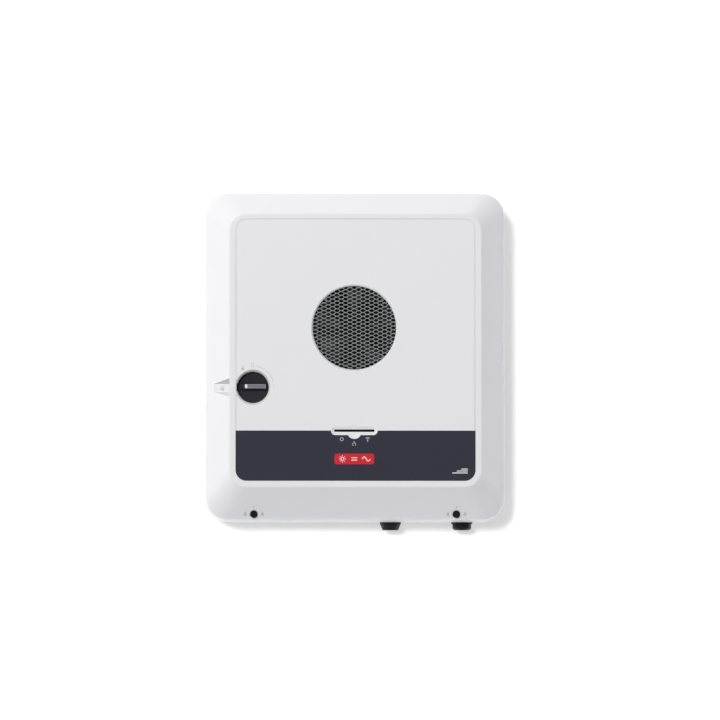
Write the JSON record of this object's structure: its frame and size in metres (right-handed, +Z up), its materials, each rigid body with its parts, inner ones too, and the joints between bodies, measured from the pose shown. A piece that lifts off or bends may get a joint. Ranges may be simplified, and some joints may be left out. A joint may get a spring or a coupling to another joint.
{
  "type": "string inverter",
  "caption": "Wall-mounted three-phase solar string inverter: white bevelled cover with a round fan grille and rotary DC switch, grey rear housing and wall bracket.",
  "frame": {"origin": "centre of the wall bracket's four-screw pattern, on the wall plane", "axes": "+Z up, +X to the right seen from the front, +Y into the wall; the front faces -Y"},
  "size_m": [0.474, 0.165, 0.531],
  "materials": {
    "housing_white": "satin",
    "housing_dark": "satin",
    "label_dark": "satin",
    "galvanised": "brushed",
    "sink_aluminium": "satin",
    "screw_steel": "satin",
    "brass": "satin",
    "black_plastic": "matte",
    "knob_plastic": "gloss",
    "grey_plastic": "matte",
    "orange_plastic": "gloss",
    "relay_plastic": "gloss",
    "board_green": "satin",
    "capacitor_sleeve": "gloss",
    "copper": "satin",
    "film_box": "matte",
    "seal_rubber": "matte",
    "mesh_steel": "satin",
    "light_plastic": "gloss",
    "wire_sheath": "matte",
    "ribbon": "matte"
  },
  "bodies": {
    "wall_bracket_body": {"wall_bracket": "galvanised"},
    "chassis": {"rear_housing": "housing_dark", "rear_hanger": "galvanised", "hanger_screws": "screw_steel", "rear_bumpers": "seal_rubber", "heat_sink": "sink_aluminium", "heat_sink_seal": "seal_rubber", "fan_duct": "black_plastic", "duct_seal": "seal_rubber", "fan_frame": "black_plastic", "fan_stator": "copper", "fan_screws": "screw_steel", "power_board": "board_green", "board_posts": "brass", "board_screws": "screw_steel", "power_modules": "grey_plastic", "dc_link_capacitors": "capacitor_sleeve", "boost_chokes": "copper", "ac_filter_chokes": "copper", "grid_relays": "relay_plastic", "film_capacitors": "film_box", "control_board": "board_green", "control_chips": "relay_plastic", "dc_disconnector": "grey_plastic", "knob_base": "black_plastic", "area_divider": "black_plastic", "dc_terminal_block": "grey_plastic", "ac_terminal_block": "grey_plastic", "earth_bar": "brass", "earth_screws": "screw_steel", "comm_board": "board_green", "network_sockets": "screw_steel", "signal_terminals": "grey_plastic", "shutdown_switch": "relay_plastic", "data_ribbon": "ribbon", "internal_wiring": "wire_sheath", "gland_bodies": "black_plastic", "gland_caps": "black_plastic", "gland_nuts": "black_plastic", "gland_seals": "seal_rubber", "dc_grommet": "seal_rubber", "lock_receivers": "brass"},
    "fan_rotor": {"fan_rotor": "black_plastic"},
    "dc_knob": {"disconnector_shaft": "screw_steel", "disconnector_knob": "knob_plastic"},
    "cover": {"front_cover": "housing_white", "front_label": "label_dark", "fan_grille": "mesh_steel", "grille_ring": "mesh_steel", "cover_seal": "seal_rubber", "light_guide": "light_plastic", "status_board": "board_green"},
    "lock_left_body": {"lock_left": "screw_steel"},
    "lock_right_body": {"lock_right": "screw_steel"},
    "shutdown_slider_body": {"shutdown_slider": "orange_plastic"},
    "ac_lever_1_body": {"ac_lever_1": "orange_plastic"},
    "ac_lever_2_body": {"ac_lever_2": "orange_plastic"},
    "ac_lever_3_body": {"ac_lever_3": "orange_plastic"},
    "ac_lever_4_body": {"ac_lever_4": "orange_plastic"},
    "ac_lever_5_body": {"ac_lever_5": "orange_plastic"}
  },
  "joints": [
    {"name": "unit_lift", "type": "slide", "parent": "wall_bracket_body", "child": "chassis", "axis": [0, 0, 1], "range_m": [0, 0.025]},
    {"name": "cover_pull", "type": "slide", "parent": "chassis", "child": "cover", "axis": [0, -1, 0], "range_m": [0, 0.13]},
    {"name": "lock_left_turn", "type": "hinge", "parent": "cover", "child": "lock_left_body", "pos_m": [-0.159, -0.12, -0.2488], "axis": [0, -1, 0], "range_deg": [0, 180]},
    {"name": "lock_right_turn", "type": "hinge", "parent": "cover", "child": "lock_right_body", "pos_m": [0.159, -0.12, -0.2488], "axis": [0, -1, 0], "range_deg": [0, 180]},
    {"name": "dc_knob_turn", "type": "hinge", "parent": "chassis", "child": "dc_knob", "pos_m": [-0.1606, -0.142, -0.0509], "axis": [0, -1, 0], "range_deg": [0, 135]},
    {"name": "fan_spin", "type": "hinge", "parent": "chassis", "child": "fan_rotor", "pos_m": [-0.0019, -0.13, 0.0425], "axis": [0, -1, 0], "continuous": true},
    {"name": "ac_lever_1_swing", "type": "hinge", "parent": "chassis", "child": "ac_lever_1_body", "pos_m": [0.07, -0.0672, -0.153], "axis": [-1, 0, 0], "range_deg": [0, 90]},
    {"name": "ac_lever_2_swing", "type": "hinge", "parent": "chassis", "child": "ac_lever_2_body", "pos_m": [0.09, -0.0672, -0.153], "axis": [-1, 0, 0], "range_deg": [0, 90]},
    {"name": "ac_lever_3_swing", "type": "hinge", "parent": "chassis", "child": "ac_lever_3_body", "pos_m": [0.11, -0.0672, -0.153], "axis": [-1, 0, 0], "range_deg": [0, 90]},
    {"name": "ac_lever_4_swing", "type": "hinge", "parent": "chassis", "child": "ac_lever_4_body", "pos_m": [0.13, -0.0672, -0.153], "axis": [-1, 0, 0], "range_deg": [0, 90]},
    {"name": "ac_lever_5_swing", "type": "hinge", "parent": "chassis", "child": "ac_lever_5_body", "pos_m": [0.15, -0.0672, -0.153], "axis": [-1, 0, 0], "range_deg": [0, 90]},
    {"name": "shutdown_slide", "type": "slide", "parent": "chassis", "child": "shutdown_slider_body", "axis": [1, 0, 0], "range_m": [0, 0.004]}
  ]
}
